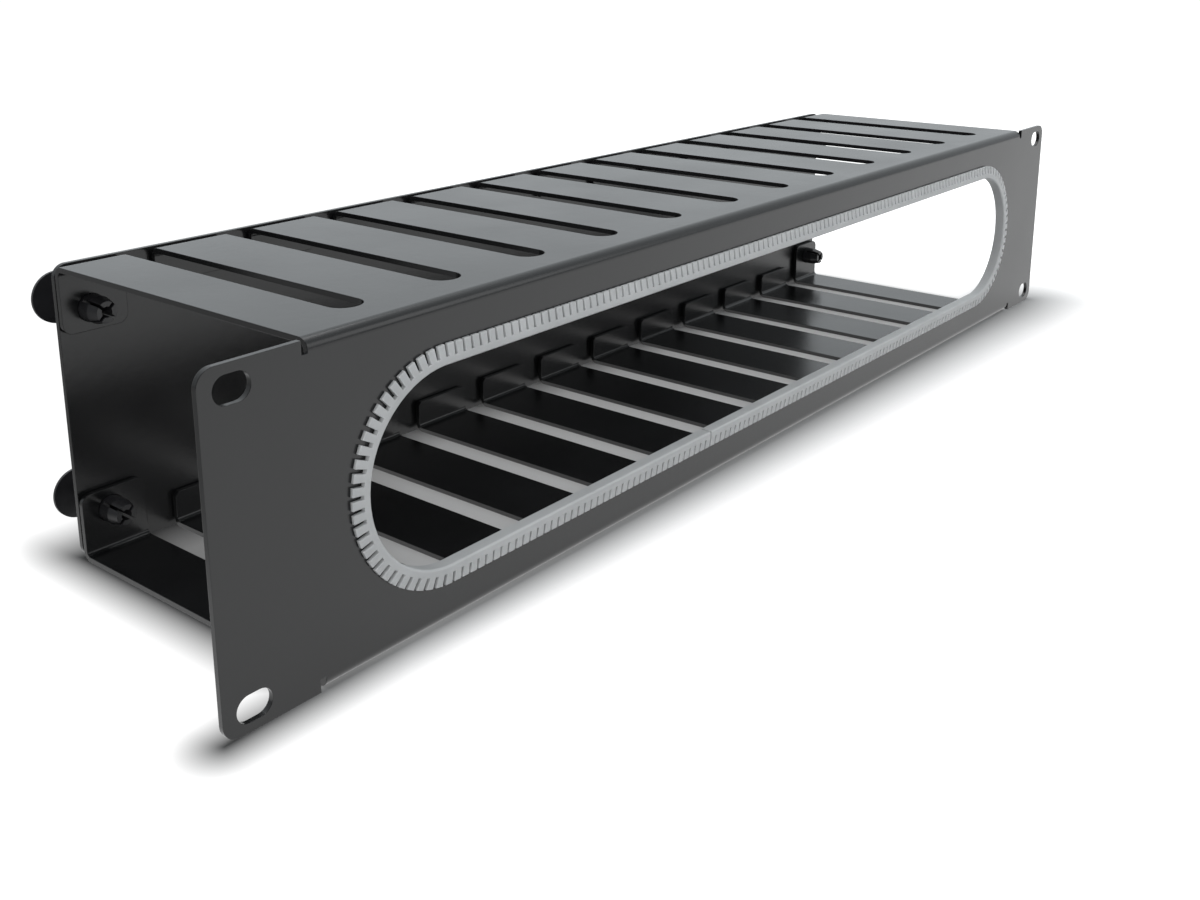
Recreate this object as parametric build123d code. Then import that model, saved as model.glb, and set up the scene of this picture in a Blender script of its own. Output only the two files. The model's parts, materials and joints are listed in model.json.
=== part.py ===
from build123d import *
import math
import os

# Horizontal cable manager for a 19 inch rack, two units high. All sizes are in millimetres.
# The origin is the centre of the front panel's front face. +X runs to the right as seen from the
# front, +Y to the rear and +Z up.
# One folded steel sheet makes the front panel with its mounting ears, the slotted top and bottom
# flanges and the tabs at their rear ends. A toothed plastic strip covers the edge of the opening.
# A flat rear plate closes the channel. It hangs on four push-pull plastic latches, each a split
# sleeve and a plunger. The plungers are drawn out, so the plate is free to come off.

# Front panel
panel_width = 482.6
panel_height = 88.1
sheet = 1.5
ear_width = 29.3
ear_corner_radius = 4.5
rack_hole_side_inset = 8.75
rack_hole_edge_inset = 5.95
rack_hole_length = 10.0
rack_hole_width = 7.0
opening_side_inset = 43.3
opening_edge_inset = 15.55

# Folded body behind the panel
body_depth = 108.0
bend_inner_radius = 1.5
relief_width = 1.8
relief_margin = 0.4

# Slots that split both flanges into fingers, evenly spread between the corner fingers
slot_count = 12
slot_width = 10.0
slot_front = 12.0
corner_finger_width = 20.0

# Tabs at the rear ends of the fingers, tall at the four corners
tab_height = 11.0
tab_corner_cut = 1.3
corner_tab_height = 20.0
corner_tab_radius = 3.0

# Rear plate, loose behind the tabs
plate_thickness = 1.5
plate_gap = 0.6
plate_corner_radius = 4.0

# Toothed strip round the opening
trim_fit = 0.05
trim_web = 1.2
trim_leg = 1.4
trim_grip = 4.2
trim_rim_chamfer = 0.4
tooth_pitch = 3.0
tooth_slit = 0.7
tooth_length = 3.3
tooth_slope = 3.6
tooth_thinning = 0.5
seam_x = -49.5
seam_gap = 0.3

# Latches: their place, the split sleeve and the plunger
latch_side_inset = 9.0
latch_edge_inset = 13.5
latch_hole_clearance = 0.1
barrel_diameter = 8.0
barrel_reach = 7.8
barrel_straight = 4.2
barrel_tip_diameter = 6.2
barrel_slit = 0.9
barrel_slit_root = 0.8
barrel_slit_angle = 45
sleeve_flange_diameter = 13.0
sleeve_flange_thickness = 1.8
pin_diameter = 3.0
pin_clearance = 0.08
pin_engagement = 3.4
knob_diameter = 15.5
knob_thickness = 1.3
plunger_travel = 12.0
plunger_seat_gap = 0.5
moulded_edge = 0.35

# Worked out from the sizes above
rack_hole_spacing_x = panel_width - 2 * rack_hole_side_inset
rack_hole_spacing_z = panel_height - 2 * rack_hole_edge_inset
opening_length = panel_width - 2 * opening_side_inset
opening_height = panel_height - 2 * opening_edge_inset
body_width = panel_width - 2 * ear_width
slot_row = body_width - 2 * corner_finger_width - slot_width
slot_pitch = slot_row / (slot_count - 1)
bend_outer_radius = bend_inner_radius + sheet
half_height = panel_height / 2
half_body = body_width / 2
tab_front = body_depth - sheet
plate_front = body_depth + plate_gap
plate_rear = plate_front + plate_thickness
latch_x = half_body - latch_side_inset
latch_z = half_height - latch_edge_inset
barrel_radius = barrel_diameter / 2
barrel_tip = tab_front - barrel_reach
sleeve_rear = plate_rear + sleeve_flange_thickness
knob_front = sleeve_rear + plunger_seat_gap + plunger_travel

# How far a cutting tool runs past what it cuts, and the tolerance for picking an edge by its place
overrun = 1.0
near = 0.01


def prism_xz(sketch, front, rear):
    """A sketch drawn in X and Z, made solid from the front depth to the rear depth."""
    plane = Plane(origin=(0, rear, 0), x_dir=(1, 0, 0), z_dir=(0, -1, 0))
    return extrude(plane * sketch, amount=rear - front)


def turned(outline, x, z):
    """An outline of (radius, depth) points turned about a line along Y through x and z."""
    return Pos(x, 0, z) * revolve(make_face(Polyline(*outline, close=True)), axis=Axis.Y)


def racetrack(grow):
    """The outline of the front opening, grown outward by the given amount."""
    return SlotOverall(opening_length + 2 * grow, opening_height + 2 * grow)


def corners():
    """The name and the signs of X and Z of each corner, as seen from the front."""
    for height, z_sign in (("top", 1), ("bottom", -1)):
        for side, x_sign in (("left", -1), ("right", 1)):
            yield f"{height}_{side}", x_sign, z_sign


def latch_hole_cutters(front, rear):
    """Cutters for the four latch holes through one sheet."""
    hole = Circle(barrel_radius + latch_hole_clearance)
    holes = [Pos(x * latch_x, z * latch_z) * hole for _, x, z in corners()]
    return prism_xz(Sketch() + holes, front, rear)


def folded_body():
    """Front wall, both flanges and corner-height tabs, as one bent section."""
    middle = Pos(body_depth / 2, 0)
    inner_depth = body_depth - 2 * sheet
    inner_height = panel_height - 2 * sheet
    section = middle * RectangleRounded(body_depth, panel_height, bend_outer_radius)
    section -= middle * RectangleRounded(inner_depth, inner_height, bend_inner_radius)
    section -= Pos(body_depth, 0) * Rectangle(2 * sheet + overrun, panel_height - 2 * corner_tab_height)
    return extrude(Plane.YZ * section, amount=half_body, both=True)


def ears():
    """The flat ends of the front panel, with a relief notch beside the end of each front bend."""
    flat = RectangleRounded(panel_width, panel_height, ear_corner_radius)
    flat -= Rectangle(body_width, panel_height + overrun)
    relief = Rectangle(relief_width, 2 * (bend_outer_radius + relief_margin))
    flat -= [Pos(x * (half_body + relief_width / 2), z * half_height) * relief for _, x, z in corners()]
    return prism_xz(flat, 0, sheet)


def panel_cutters():
    """Cutters for the racetrack opening and the four oblong rack holes."""
    rack_hole = SlotOverall(rack_hole_length, rack_hole_width)
    x_place = rack_hole_spacing_x / 2
    z_place = rack_hole_spacing_z / 2
    holes = [Pos(x * x_place, z * z_place) * rack_hole for _, x, z in corners()]
    return prism_xz(racetrack(0) + holes, -overrun, sheet + overrun)


def slot_cutters():
    """Cutters for the flange slots, round at the front and open through the rear bends and tabs."""
    round_end = slot_front + slot_width / 2
    length = body_depth + overrun - round_end
    slot = Pos(0, round_end) * Circle(slot_width / 2)
    slot += Pos(0, round_end + length / 2) * Rectangle(slot_width, length)
    row = Sketch() + [Pos(slot_pitch * i - slot_row / 2, 0) * slot for i in range(slot_count)]
    return extrude(row, amount=half_height + overrun, both=True)


def short_tab_cutter():
    """Cuts the tabs between the two end slots down to their short height."""
    row = Rectangle(slot_row, panel_height - 2 * tab_height)
    return prism_xz(row, tab_front - overrun, body_depth + overrun)


def tab_corner_edges(solid, height):
    """The corner edges, across the sheet, at the free ends of the tabs of one height."""
    end = half_height - height
    at_rear = solid.edges().filter_by(Axis.Y).filter_by(lambda e: e.center().Y > tab_front)
    return at_rear.filter_by(lambda e: abs(abs(e.center().Z) - end) < near)


def make_housing():
    solid = folded_body() + ears()
    solid -= panel_cutters()
    solid -= slot_cutters()
    solid -= short_tab_cutter()
    solid -= latch_hole_cutters(tab_front - overrun, body_depth + overrun)
    solid = chamfer(tab_corner_edges(solid, tab_height), tab_corner_cut)
    return fillet(tab_corner_edges(solid, corner_tab_height), corner_tab_radius)


def make_rear_plate():
    outline = RectangleRounded(body_width, panel_height, plate_corner_radius)
    solid = prism_xz(outline, plate_front, plate_rear)
    return solid - latch_hole_cutters(plate_front - overrun, plate_rear + overrun)


def edge_place(distance):
    """A point on the opening's edge, its outward direction in degrees and whether the edge is
    round there, at a distance along the edge from its bottom centre towards +X."""
    radius = opening_height / 2
    straight = opening_length / 2 - radius
    bend = math.pi * radius
    if distance < straight:
        return distance, -radius, -90, False
    distance -= straight
    if distance < bend:
        angle = distance / radius - math.pi / 2
        return straight + radius * math.cos(angle), radius * math.sin(angle), math.degrees(angle), True
    distance -= bend
    if distance < 2 * straight:
        return straight - distance, radius, 90, False
    distance -= 2 * straight
    if distance < bend:
        angle = distance / radius + math.pi / 2
        return -straight + radius * math.cos(angle), radius * math.sin(angle), math.degrees(angle), True
    return distance - bend - straight, -radius, -90, False


def slit_places():
    """The places of all slits along the opening's edge, the seam's first."""
    radius = opening_height / 2
    around = 2 * (opening_length - opening_height) + 2 * math.pi * radius
    count = round(around / tooth_pitch)
    return [edge_place((seam_x + around * (1 + i / count)) % around) for i in range(count)]


def trim_path():
    """The strip's route round the opening's edge, from one end at the seam to the other.
    Each tooth is flat, so a bend has a corner at each slit."""
    places = slit_places()
    points = [(seam_x + seam_gap / 2, 0, -opening_height / 2)]
    for before, place, after in zip(places[:-1], places[1:], places[2:] + places[:1]):
        if before[3] or place[3] or after[3]:
            points.append((place[0], 0, place[1]))
    points.append((seam_x - seam_gap / 2, 0, -opening_height / 2))
    return Polyline(*points)


def trim_section():
    """The strip's cross-section, drawn as (outward from the edge, depth): a web over the sheet's
    edge between two legs that taper towards the tips of the teeth."""
    front = -trim_fit - trim_leg
    rear = sheet + trim_fit + trim_leg
    inner = -trim_fit - trim_web
    crease = trim_grip - tooth_slope
    return make_face(
        Polyline(
            (inner, front + trim_rim_chamfer),
            (inner + trim_rim_chamfer, front),
            (crease, front),
            (trim_grip, front + tooth_thinning),
            (trim_grip, -trim_fit),
            (-trim_fit, -trim_fit),
            (-trim_fit, sheet + trim_fit),
            (trim_grip, sheet + trim_fit),
            (trim_grip, rear - tooth_thinning),
            (crease, rear),
            (inner + trim_rim_chamfer, rear),
            (inner, rear - trim_rim_chamfer),
            close=True,
        )
    )


def slit_outlines():
    """The slits between the teeth, and the small V where the strip's ends meet.
    Teeth keep their width, so the slits open wider where the strip goes round a bend."""
    tip = tooth_length + overrun
    for x, z, angle, bent in slit_places():
        fan = tooth_pitch * trim_grip / (opening_height / 2) if bent else 0
        half_width = (tooth_slit + fan) / 2 * tip / tooth_length
        notch = make_face(Polyline((0, 0), (tip, -half_width), (tip, half_width), close=True))
        yield Pos(x, z) * Rot(0, 0, angle) * Pos(trim_grip - tooth_length, 0) * notch


def make_edge_trim():
    path = trim_path()
    start = Plane(origin=path @ 0, x_dir=(0, 0, -1), z_dir=path % 0)
    strip = sweep(start * trim_section(), path=path, transition=Transition.RIGHT)
    front = -trim_leg - overrun
    rear = sheet + trim_leg + overrun
    return strip - [prism_xz(outline, front, rear) for outline in slit_outlines()]


def make_sleeve(x, z):
    """A flanged barrel, bored for the pin and split into four legs that narrow to the tip."""
    bore = pin_diameter / 2 + pin_clearance
    flange = sleeve_flange_diameter / 2
    outline = (
        (bore, sleeve_rear),
        (flange - moulded_edge, sleeve_rear),
        (flange, sleeve_rear - moulded_edge),
        (flange, plate_rear),
        (barrel_radius, plate_rear),
        (barrel_radius, tab_front - barrel_straight),
        (barrel_tip_diameter / 2, barrel_tip),
        (bore, barrel_tip),
    )
    sleeve = turned(outline, x, z)
    slit_rear = tab_front - barrel_slit_root
    slit = Box(barrel_slit, slit_rear - barrel_tip + overrun, 2 * barrel_diameter)
    middle = (slit_rear + barrel_tip - overrun) / 2
    turns = (barrel_slit_angle, barrel_slit_angle + 90)
    return sleeve - [Pos(x, middle, z) * Rot(0, turn, 0) * slit for turn in turns]


def make_plunger(x, z):
    """A thin round knob on a plain pin, drawn out of the sleeve by its travel."""
    knob = knob_diameter / 2
    knob_rear = knob_front + knob_thickness
    pin = pin_diameter / 2
    pin_front = sleeve_rear - pin_engagement
    outline = (
        (0, knob_rear),
        (knob - moulded_edge, knob_rear),
        (knob, knob_rear - moulded_edge),
        (knob, knob_front),
        (pin, knob_front),
        (pin, pin_front),
        (0, pin_front),
    )
    return turned(outline, x, z)


def main():
    os.makedirs("parts", exist_ok=True)
    pieces = {
        "housing": make_housing(),
        "rear_plate": make_rear_plate(),
        "edge_trim": make_edge_trim(),
    }
    for corner, x, z in corners():
        pieces[f"latch_sleeve_{corner}"] = make_sleeve(x * latch_x, z * latch_z)
        pieces[f"latch_plunger_{corner}"] = make_plunger(x * latch_x, z * latch_z)
    for name, piece in pieces.items():
        export_step(piece, f"parts/{name}.step")


if __name__ == "__main__":
    main()
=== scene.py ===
import json
import math

import bpy
from mathutils import Matrix, Vector


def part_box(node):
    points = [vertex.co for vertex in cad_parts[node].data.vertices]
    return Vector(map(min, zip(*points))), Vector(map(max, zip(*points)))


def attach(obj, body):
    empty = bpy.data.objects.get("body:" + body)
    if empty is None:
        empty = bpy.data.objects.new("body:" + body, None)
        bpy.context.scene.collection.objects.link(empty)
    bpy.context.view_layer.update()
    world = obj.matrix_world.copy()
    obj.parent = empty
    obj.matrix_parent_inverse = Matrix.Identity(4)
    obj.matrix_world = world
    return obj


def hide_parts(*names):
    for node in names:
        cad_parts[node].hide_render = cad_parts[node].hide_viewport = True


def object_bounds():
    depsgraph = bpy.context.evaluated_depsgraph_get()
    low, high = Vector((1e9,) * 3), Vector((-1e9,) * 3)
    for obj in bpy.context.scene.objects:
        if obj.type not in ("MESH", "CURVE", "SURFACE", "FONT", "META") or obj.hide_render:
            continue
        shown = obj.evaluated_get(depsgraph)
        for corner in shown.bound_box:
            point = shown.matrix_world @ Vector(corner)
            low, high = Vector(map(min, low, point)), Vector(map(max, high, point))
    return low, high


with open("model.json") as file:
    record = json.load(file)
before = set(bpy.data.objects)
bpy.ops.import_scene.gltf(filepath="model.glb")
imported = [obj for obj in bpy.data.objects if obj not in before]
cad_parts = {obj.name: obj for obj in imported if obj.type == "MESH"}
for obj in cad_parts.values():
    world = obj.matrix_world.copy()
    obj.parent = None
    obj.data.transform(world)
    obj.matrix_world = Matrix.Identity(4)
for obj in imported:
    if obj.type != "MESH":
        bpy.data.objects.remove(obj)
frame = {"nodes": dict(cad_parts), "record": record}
cad_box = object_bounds()

# Where the channel ends at its right, its rear and its top
channel_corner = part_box("rear_plate")[1]

# A millimetre, in metres
MM = 0.001

# The photograph's frame, in pixels
PHOTO_WIDTH = 1200
PHOTO_HEIGHT = 900

# The camera that matches the photograph's view: its focal length and the row that its axis meets, both
# in the photograph's pixels, its place in metres, its turn from +Y to +X and its downward tilt. The
# sensor's width is in millimetres, and nothing nearer than the clip distance is seen.
FOCAL_PIXELS = 1286.1
AXIS_ROW = 270
CAMERA_PLACE = Vector((-0.3861, -0.2229, 0.1295))
CAMERA_YAW = math.radians(51.39)
CAMERA_PITCH = math.radians(14.18)
SENSOR_WIDTH = 36
CLIP_DISTANCE = 0.01

# The studio's light: the direction of its bright side, the cosines to it at which the light is dimmest
# and brightest, its level at each, and its colour
BRIGHT_SIDE = (0.75, 0.6, 0.25)
DIM_END = -0.7
BRIGHT_END = 0.8
DIM_LEVEL = 0.08
BRIGHT_LEVEL = 0.95
SKY_COLOUR = (0.92, 0.97, 1)

# The floor: the length of its sides and its height in metres, and its colour under the studio's light
FLOOR_SIZE = 30
FLOOR_HEIGHT = cad_box[0].z
FLOOR_COLOUR = (0.45, 0.45, 0.45)

# The floor's own light as the camera sees it. Under the channel it is a dim painted light, seen
# through the slots, and fades to none across a rim. Beyond the foot of the channel and of the panel it
# grows from none to full over a reach, so that a painted shadow, on top of the real one, lies round
# the foot. The channel has one reach at its sides and another at its rear, and starts a little behind
# the panel. The panel's reach grows from its left end to its right end. The rim, reaches and start are
# in metres.
# Painted light: the floor's dim glow under the channel
PAINTED_GLOW_BELOW = 0.15
GLOW_RIM = 0.02
GLOW_BEYOND = 1
CHANNEL_REACH = (0.014, 0.028)
CHANNEL_START = 0.014
PANEL_REACH = (0.012, 0.048)

# How strong the floor's own light is in reflections
MIRROR_GLOW = 0.8

# The floor's dark side, where painted shade darkens its colour, and in reflections its own light too:
# its direction, then where it starts and ends in metres and how much is left there, first in
# reflections and then for all else
PAINTED_SHADE_SIDE = (-0.707, 0.707, 0)
PAINTED_MIRROR_SHADE_SPAN = (0.18, 0.3)
PAINTED_MIRROR_SHADE_LEVEL = 0.3
PAINTED_SHADOW_SPAN = (0.13, 0.17)
PAINTED_SHADOW_LEVEL = 0.2

# Noise textures: where most of their values lie, and the finer layers that patches and grains have
NOISE_RANGE = (0.3, 0.7)
PATCH_DETAIL = 3
GRAIN_DETAIL = 2

# How finely edges are softened in a finish, and rounded in the strip's mesh
SOFTENING_SAMPLES = 6
ROUNDING_SEGMENTS = 3

# The toothed strip round the opening, in millimetres: its play round the sheet, the thickness of its
# web and its legs, how far the legs reach over the sheet, the bevel on the web's rims, and the pitch,
# slit, length, thinning, flare and rounding of a tooth. The seam at the bottom is at SEAM_X.
STRIP_FIT = 0.05
STRIP_WEB = 1.2
STRIP_LEG = 1.4
STRIP_GRIP = 4.2
STRIP_RIM = 0.4
TOOTH_PITCH = 3
TOOTH_SLIT = 1
TOOTH_LENGTH = 3.3
TOOTH_THINNING = 0.5
TOOTH_FLARE = 0.15
TOOTH_ROUNDING = 0.24
SEAM_X = -49.5

# The opening that the strip fits and the sheet that it grips, from the strip's own box
strip_low, strip_high = [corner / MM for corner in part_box("edge_trim")]
opening_length = strip_high.x - strip_low.x - 2 * STRIP_GRIP
opening_height = strip_high.z - strip_low.z - 2 * STRIP_GRIP
sheet_thickness = strip_high.y - strip_low.y - 2 * (STRIP_LEG + STRIP_FIT)

# The line along the middle of the strip's web, which keeps its length round the bends
web_inset = STRIP_FIT + STRIP_WEB / 2
web_radius = opening_height / 2 - web_inset
web_straight = (opening_length - opening_height) / 2
half_lap = 2 * web_straight + math.pi * web_radius


def new_material(name):
    """A new material, its node tree and its Principled shader."""
    mat = bpy.data.materials.new(name)
    mat.use_nodes = True
    return mat, mat.node_tree, mat.node_tree.nodes["Principled BSDF"]


def noise(tree, scale, detail):
    """Noise over the object's own space, with its scale in cells per metre."""
    place = tree.nodes.new("ShaderNodeTexCoord")
    texture = tree.nodes.new("ShaderNodeTexNoise")
    texture.inputs["Scale"].default_value = scale
    texture.inputs["Detail"].default_value = detail
    tree.links.new(place.outputs["Object"], texture.inputs["Vector"])
    return texture.outputs["Fac"]


def map_range(tree, value, before, after):
    """A value moved from one range to another, and held at that range's ends."""
    ranged = tree.nodes.new("ShaderNodeMapRange")
    ranged.inputs["From Min"].default_value, ranged.inputs["From Max"].default_value = before
    ranged.inputs["To Min"].default_value, ranged.inputs["To Max"].default_value = after
    tree.links.new(value, ranged.inputs["Value"])
    return ranged.outputs["Result"]


def vector_step(tree, operation, value, other=(0, 0, 0)):
    """What one operation makes of a vector and a fixed vector."""
    step = tree.nodes.new("ShaderNodeVectorMath")
    step.operation = operation
    step.inputs[1].default_value = other
    tree.links.new(value, step.inputs[0])
    return step.outputs["Value" if operation in ("LENGTH", "DOT_PRODUCT") else "Vector"]


def math_step(tree, operation, first, second):
    """What one operation makes of a value and a second value or number."""
    step = tree.nodes.new("ShaderNodeMath")
    step.operation = operation
    tree.links.new(first, step.inputs[0])
    if isinstance(second, bpy.types.NodeSocket):
        tree.links.new(second, step.inputs[1])
    else:
        step.inputs[1].default_value = second
    return step.outputs[0]


def tint(tree, value, dark, light):
    """A colour that runs from dark to light with a value."""
    mix = tree.nodes.new("ShaderNodeMix")
    mix.data_type = "RGBA"
    mix.inputs["A"].default_value = (*dark, 1)
    mix.inputs["B"].default_value = (*light, 1)
    tree.links.new(value, mix.inputs["Factor"])
    return mix.outputs["Result"]


def cloudy(tree, shader, scale, dark, light, roughness):
    """Gives a surface soft patches that differ a little in colour and in roughness."""
    cloud = noise(tree, scale, PATCH_DETAIL)
    colour = tint(tree, map_range(tree, cloud, NOISE_RANGE, (0, 1)), dark, light)
    tree.links.new(colour, shader.inputs["Base Color"])
    tree.links.new(map_range(tree, cloud, NOISE_RANGE, roughness), shader.inputs["Roughness"])


def grained(tree, shader, rounding, grains):
    """Softens a surface's sharp edges over a radius in millimetres, and covers it with one noise after
    another, each given by its cells per metre and its depth in millimetres."""
    soften = tree.nodes.new("ShaderNodeBevel")
    soften.samples = SOFTENING_SAMPLES
    soften.inputs["Radius"].default_value = rounding * MM
    normal = soften.outputs["Normal"]
    for scale, depth in grains:
        bump = tree.nodes.new("ShaderNodeBump")
        bump.inputs["Distance"].default_value = depth * MM
        tree.links.new(noise(tree, scale, GRAIN_DETAIL), bump.inputs["Height"])
        tree.links.new(normal, bump.inputs["Normal"])
        normal = bump.outputs["Normal"]
    tree.links.new(normal, shader.inputs["Normal"])


def powder_coat():
    """Black satin powder coat: a fine even grain over a soft orange peel."""
    mat, tree, shader = new_material("black_powder_coat")
    dark, light = (0.005, 0.0052, 0.0055), (0.008, 0.0083, 0.0088)
    cloudy(tree, shader, scale=25, dark=dark, light=light, roughness=(0.21, 0.27))
    grained(tree, shader, rounding=0.3, grains=[(420, 0.02), (1500, 0.01)])
    return mat


def grey_trim():
    """Light grey moulded plastic, matt and a little milky."""
    mat, tree, shader = new_material("grey_trim")
    dark, light = (0.5, 0.51, 0.515), (0.56, 0.57, 0.575)
    cloudy(tree, shader, scale=60, dark=dark, light=light, roughness=(0.42, 0.5))
    grained(tree, shader, rounding=0.25, grains=[(2500, 0.008)])
    shader.inputs["Subsurface Weight"].default_value = 0.8
    shader.inputs["Subsurface Radius"].default_value = (1, 1, 1)
    shader.inputs["Subsurface Scale"].default_value = 1.5 * MM
    return mat


def black_latch():
    """Black moulded nylon with a soft sheen."""
    mat, tree, shader = new_material("black_latch")
    dark, light = (0.012, 0.012, 0.013), (0.018, 0.018, 0.02)
    cloudy(tree, shader, scale=150, dark=dark, light=light, roughness=(0.28, 0.38))
    grained(tree, shader, rounding=0.2, grains=[(3000, 0.006)])
    return mat


def dress_nodes(finishes):
    """Gives each node the finish of its material slot."""
    for part in frame["record"]["subparts"]:
        node = frame["nodes"][part["node"]]
        node.data.materials.clear()
        node.data.materials.append(finishes[part["material_slot"]])


def web_place(distance):
    """A point on the web's line as X and Z, and the angle of its outward side, at a distance from
    the bottom centre towards +X. The left half is the right half turned round."""
    if distance >= half_lap:
        x, z, angle = web_place(distance - half_lap)
        return -x, -z, angle + math.pi
    if distance < web_straight:
        return distance, -web_radius, -math.pi / 2
    if distance > half_lap - web_straight:
        return half_lap - distance, web_radius, math.pi / 2
    angle = (distance - web_straight) / web_radius - math.pi / 2
    return web_straight + web_radius * math.cos(angle), web_radius * math.sin(angle), angle


def strip_section():
    """The strip's section as points (outward from the opening's edge, depth behind the panel's
    face), in a loop from the web's front rim. The second list holds the places in the loop of the
    points at the teeth's tips."""
    front = -STRIP_FIT - STRIP_LEG
    rear = sheet_thickness + STRIP_FIT + STRIP_LEG
    inner = -STRIP_FIT - STRIP_WEB
    root = STRIP_GRIP - TOOTH_LENGTH
    points = [
        (inner, front + STRIP_RIM),
        (inner + STRIP_RIM, front),
        (root, front),
        (STRIP_GRIP, front + TOOTH_THINNING),
        (STRIP_GRIP, -STRIP_FIT),
        (root, -STRIP_FIT),
        (-STRIP_FIT, -STRIP_FIT),
        (-STRIP_FIT, sheet_thickness + STRIP_FIT),
        (root, sheet_thickness + STRIP_FIT),
        (STRIP_GRIP, sheet_thickness + STRIP_FIT),
        (STRIP_GRIP, rear - TOOTH_THINNING),
        (root, rear),
        (inner + STRIP_RIM, rear),
        (inner, rear - STRIP_RIM),
    ]
    tips = [i for i, (outward, _) in enumerate(points) if outward == STRIP_GRIP]
    return points, tips


def tooth_side(section, distance, half_tooth):
    """The section's points at one side of the tooth at a distance along the web, in metres."""
    x, z, angle = web_place(distance)
    points = []
    for outward, depth in section:
        tip_flare = TOOTH_FLARE if outward == STRIP_GRIP else 0
        along = half_tooth + math.copysign(tip_flare, half_tooth)
        offset = outward + web_inset
        across = x + offset * math.cos(angle) - along * math.sin(angle)
        upward = z + offset * math.sin(angle) + along * math.cos(angle)
        points.append((across * MM, depth * MM, upward * MM))
    return points


def strip_faces(count, size, tips):
    """The faces of a block for each tooth and of the bridges between the blocks below the slits. A
    block has one loop of points at its start and one at its end. The first and last block are closed
    where they meet at the seam."""
    around = [(k, (k + 1) % size) for k in range(size)]
    base = [k for k in range(size) if k not in tips]
    bridge = list(zip(base, base[1:] + base[:1]))
    legs = [(tip - 1, tip, tip + 1, tip + 2) for tip in tips[::2]]
    faces = [list(range(size))[::-1]]
    for i in range(count):
        start, end = 2 * i * size, (2 * i + 1) * size
        faces += [(start + a, start + b, end + b, end + a) for a, b in around]
        if i > 0:
            faces += [[start + k for k in reversed(leg)] for leg in legs]
        if i < count - 1:
            after = end + size
            faces += [[end + k for k in leg] for leg in legs]
            faces += [(end + a, end + b, after + b, after + a) for a, b in bridge]
    faces.append([end + k for k in range(size)])
    return faces


def weigh_edges(mesh, size, tips):
    """Marks for rounding the edges that a tooth shows outside its slits."""
    worn = set()
    for start in range(0, len(mesh.vertices), size):
        for tip in tips[::2]:
            worn |= {(start + k, start + k + 1) for k in range(tip - 1, tip + 2)}
        if start % (2 * size) == 0:
            worn |= {(start + tip, start + size + tip) for tip in tips}
    weights = mesh.attributes.new("bevel_weight_edge", "FLOAT", "EDGE")
    for edge in mesh.edges:
        if tuple(sorted(edge.vertices)) in worn:
            weights.data[edge.index].value = 1


def make_strip(finish):
    """The toothed strip, whose slits open round the bends because its web keeps its length."""
    section, tips = strip_section()
    count = round(2 * half_lap / TOOTH_PITCH)
    pitch = 2 * half_lap / count
    half_tooth = (pitch - TOOTH_SLIT) / 2
    points = []
    for i in range(count):
        distance = (SEAM_X + (i + 0.5) * pitch) % (2 * half_lap)
        points += tooth_side(section, distance, -half_tooth)
        points += tooth_side(section, distance, half_tooth)
    mesh = bpy.data.meshes.new("edge_strip")
    mesh.from_pydata(points, [], strip_faces(count, len(section), tips))
    mesh.update()
    weigh_edges(mesh, len(section), tips)
    mesh.materials.append(finish)
    strip = bpy.data.objects.new("edge_strip", mesh)
    bpy.context.scene.collection.objects.link(strip)
    bevel = strip.modifiers.new("rounding", "BEVEL")
    bevel.width = TOOTH_ROUNDING * MM
    bevel.segments = ROUNDING_SEGMENTS
    bevel.limit_method = "WEIGHT"
    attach(strip, "cable_manager")
    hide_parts("edge_trim")


def floor_place(tree):
    """The place of a point on the floor, in metres from the object's origin."""
    return tree.nodes.new("ShaderNodeTexCoord").outputs["Object"]


def outside_box(tree, width, front, rear, reach=(1, 1)):
    """How far a point of the floor is from a rectangle across the middle: in metres, or as a share of
    a reach to its sides and one to its front and rear."""
    outside = vector_step(tree, "SUBTRACT", floor_place(tree), (0, (front + rear) / 2, 0))
    outside = vector_step(tree, "ABSOLUTE", outside)
    outside = vector_step(tree, "SUBTRACT", outside, (width / 2, (rear - front) / 2, 0))
    outside = vector_step(tree, "MAXIMUM", outside)
    return vector_step(tree, "LENGTH", vector_step(tree, "DIVIDE", outside, (*reach, 1)))


def painted_glow_below(tree):
    """The floor's dim painted light under the channel, seen through the slots, which fades across the
    rim to none at its edge.
    """
    width = 2 * (channel_corner.x - GLOW_RIM)
    distance = outside_box(tree, width, GLOW_RIM, channel_corner.y - GLOW_RIM)
    return map_range(tree, distance, (0, GLOW_RIM), (PAINTED_GLOW_BELOW, 0))


def channel_share(tree):
    """How far a point of the floor is from the channel's foot, as a share of the painted shadow's
    reach there.
    """
    return outside_box(tree, 2 * channel_corner.x, CHANNEL_START, channel_corner.y, CHANNEL_REACH)


def panel_share(tree):
    """How far a point of the floor is from the panel's foot, as a share of the painted shadow's reach
    there.
    """
    distance = outside_box(tree, cad_box[1].x - cad_box[0].x, 0, 0)
    rightward = vector_step(tree, "DOT_PRODUCT", floor_place(tree), (1, 0, 0))
    reach = map_range(tree, rightward, (cad_box[0].x, cad_box[1].x), PANEL_REACH)
    return math_step(tree, "DIVIDE", distance, reach)


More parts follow.
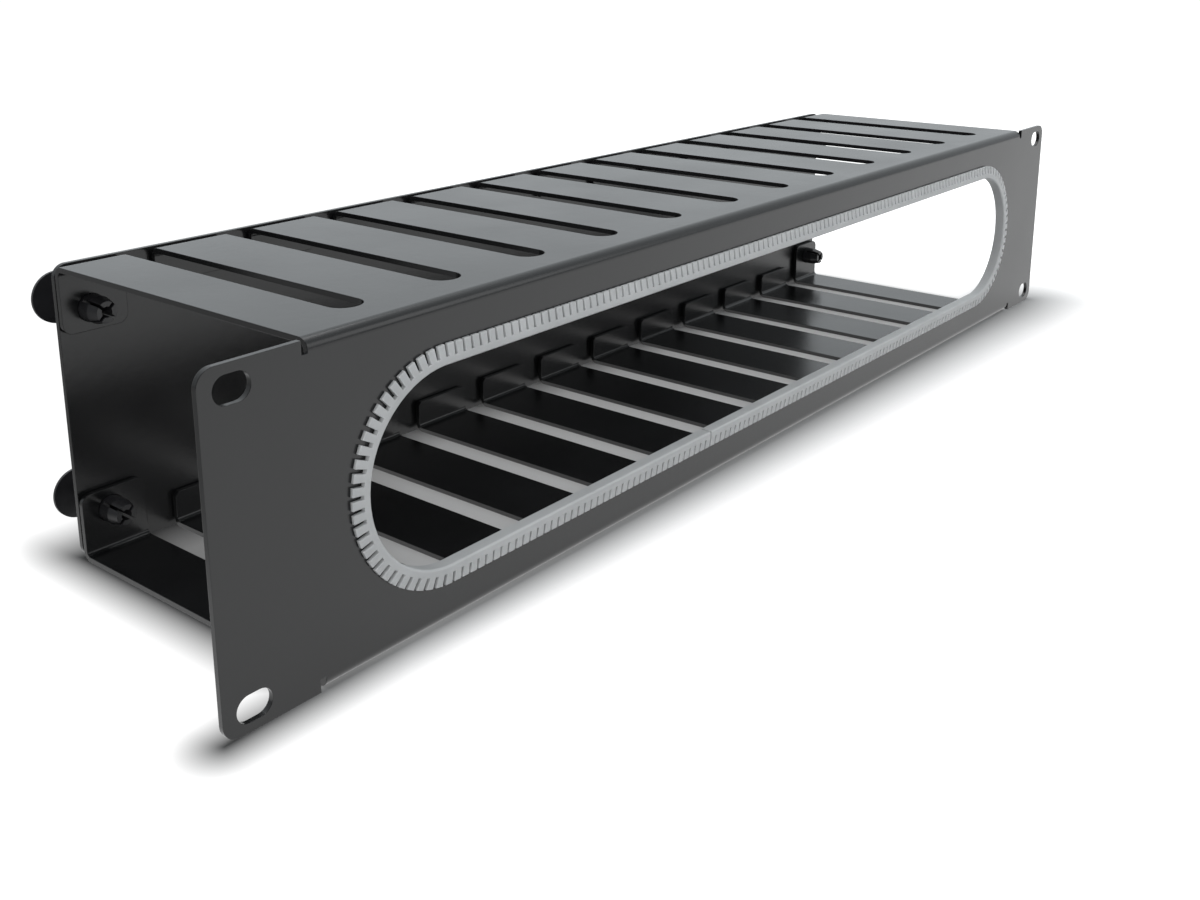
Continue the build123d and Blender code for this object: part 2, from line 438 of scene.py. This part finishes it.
def painted_floor_shade(tree, mirrored):
    """How much of the floor's colour is left, and in reflections of its own light too: all of it, or
    less where painted shade darkens its dark side, a painted shadow for the camera and a painted shade
    in the object's reflections. It is one share in reflections and another for all else."""
    toward_painted_shade = vector_step(tree, "DOT_PRODUCT", floor_place(tree), PAINTED_SHADE_SIDE)
    shares = tree.nodes.new("ShaderNodeMix")
    tree.links.new(mirrored, shares.inputs["Factor"])
    # Painted shadow in the floor's colour on its dark side
    tree.links.new(map_range(tree, toward_painted_shade, PAINTED_SHADOW_SPAN, (1, PAINTED_SHADOW_LEVEL)), shares.inputs["A"])
    # Painted shade in the floor's colour and own light as the object reflects them
    tree.links.new(map_range(tree, toward_painted_shade, PAINTED_MIRROR_SHADE_SPAN, (1, PAINTED_MIRROR_SHADE_LEVEL)), shares.inputs["B"])
    return shares.outputs["Result"]


def floor_glow(tree, rays, left):
    """The floor's own light: as the camera sees it, in reflections, or none for all else. As the
    camera sees it, it fades to none near the foot, which paints a shadow there, and it holds a dim
    painted light under the channel.
    """
    # Painted shadow: the floor's own light fades to none near the foot of the channel and of the panel
    share = math_step(tree, "MINIMUM", channel_share(tree), panel_share(tree))
    beyond = map_range(tree, share, (0, 1), (0, GLOW_BEYOND))
    seen = math_step(tree, "MAXIMUM", rays["Is Camera Ray"], rays["Is Transmission Ray"])
    level = tree.nodes.new("ShaderNodeMix")
    glow = math_step(tree, "MULTIPLY", math_step(tree, "ADD", painted_glow_below(tree), beyond), seen)
    tree.links.new(rays["Is Glossy Ray"], level.inputs["Factor"])
    tree.links.new(glow, level.inputs["A"])
    tree.links.new(math_step(tree, "MULTIPLY", left, MIRROR_GLOW), level.inputs["B"])
    return level.outputs["Result"]


def floor_finish():
    """A matt grey floor that takes the object's shadow, with painted shade on its dark side, and that
    its own light shows white, bar a painted shadow round the object's foot and a dim painted light
    under the channel.
    """
    mat, tree, shader = new_material("floor")
    rays = tree.nodes.new("ShaderNodeLightPath").outputs
    # How much of the floor's colour and light is left under painted shade on its dark side
    left = painted_floor_shade(tree, rays["Is Glossy Ray"])
    tree.links.new(tint(tree, left, (0, 0, 0), FLOOR_COLOUR), shader.inputs["Base Color"])
    tree.links.new(floor_glow(tree, rays, left), shader.inputs["Emission Strength"])
    shader.inputs["Emission Color"].default_value = (1, 1, 1, 1)
    shader.inputs["Roughness"].default_value = 1
    shader.inputs["Specular IOR Level"].default_value = 0
    return mat


def make_floor():
    """The floor that the object stands on."""
    bpy.ops.mesh.primitive_plane_add(size=FLOOR_SIZE, location=(0, 0, FLOOR_HEIGHT))
    floor = bpy.context.object
    floor.name = "floor"
    floor.data.materials.append(floor_finish())


def make_world():
    """A pale studio that is dim on the left and bright on the right and behind. The camera sees it
    white."""
    world = bpy.data.worlds.new("studio")
    bpy.context.scene.world = world
    world.use_nodes = True
    tree = world.node_tree
    direction = tree.nodes.new("ShaderNodeTexCoord").outputs["Generated"]
    toward_light = vector_step(tree, "DOT_PRODUCT", direction, Vector(BRIGHT_SIDE).normalized())
    shade = map_range(tree, toward_light, (DIM_END, BRIGHT_END), (DIM_LEVEL, BRIGHT_LEVEL))
    seen = tree.nodes.new("ShaderNodeLightPath").outputs["Is Camera Ray"]
    level = tree.nodes.new("ShaderNodeMix")
    level.inputs["B"].default_value = 1
    tree.links.new(seen, level.inputs["Factor"])
    tree.links.new(shade, level.inputs["A"])
    background = tree.nodes["Background"]
    tree.links.new(level.outputs["Result"], background.inputs["Strength"])
    tree.links.new(tint(tree, seen, SKY_COLOUR, (1, 1, 1)), background.inputs["Color"])


def area_light(name, place, size, power, mirrored):
    """A rectangular lamp that faces the object, with its place and size in metres and its power in
    watts. One that isn't mirrored adds no highlight."""
    data = bpy.data.lights.new(name, "AREA")
    data.shape = "RECTANGLE"
    data.size, data.size_y = size
    data.energy = power
    lamp = bpy.data.objects.new(name, data)
    lamp.location = place
    lamp.rotation_euler = (-Vector(place)).to_track_quat("-Z", "Y").to_euler()
    lamp.visible_glossy = mirrored
    bpy.context.scene.collection.objects.link(lamp)


def make_lights():
    """A soft lamp overhead, a weaker one at the front right, and a fill at the left."""
    area_light("overhead", place=(0.1, 0.3, 1.6), size=(1.6, 1.2), power=14, mirrored=True)
    area_light("front_right", place=(1.2, -1.6, 0.9), size=(1, 1), power=4, mirrored=True)
    area_light("fill_left", place=(-1.3, -0.9, 0.6), size=(1, 1), power=12, mirrored=False)


def make_camera():
    """The camera, with its frame shifted down from its axis."""
    forward = Vector((
        math.sin(CAMERA_YAW) * math.cos(CAMERA_PITCH),
        math.cos(CAMERA_YAW) * math.cos(CAMERA_PITCH),
        -math.sin(CAMERA_PITCH),
    ))
    right = Vector((math.cos(CAMERA_YAW), -math.sin(CAMERA_YAW), 0))
    up = right.cross(forward)
    data = bpy.data.cameras.new("camera")
    data.sensor_width = SENSOR_WIDTH
    data.lens = FOCAL_PIXELS / PHOTO_WIDTH * SENSOR_WIDTH
    data.shift_y = (AXIS_ROW - PHOTO_HEIGHT / 2) / PHOTO_WIDTH
    data.clip_start = CLIP_DISTANCE
    camera = bpy.data.objects.new("camera", data)
    turn = Matrix((right, up, -forward)).transposed().to_4x4()
    camera.matrix_world = Matrix.Translation(CAMERA_PLACE) @ turn
    bpy.context.scene.collection.objects.link(camera)
    bpy.context.scene.camera = camera


bpy.context.scene.view_settings.view_transform = "Standard"
finishes = {
    "black_powder_coat": powder_coat(),
    "grey_trim": grey_trim(),
    "black_latch": black_latch(),
}
dress_nodes(finishes)
make_strip(finishes["grey_trim"])
make_floor()
make_world()
make_lights()
make_camera()
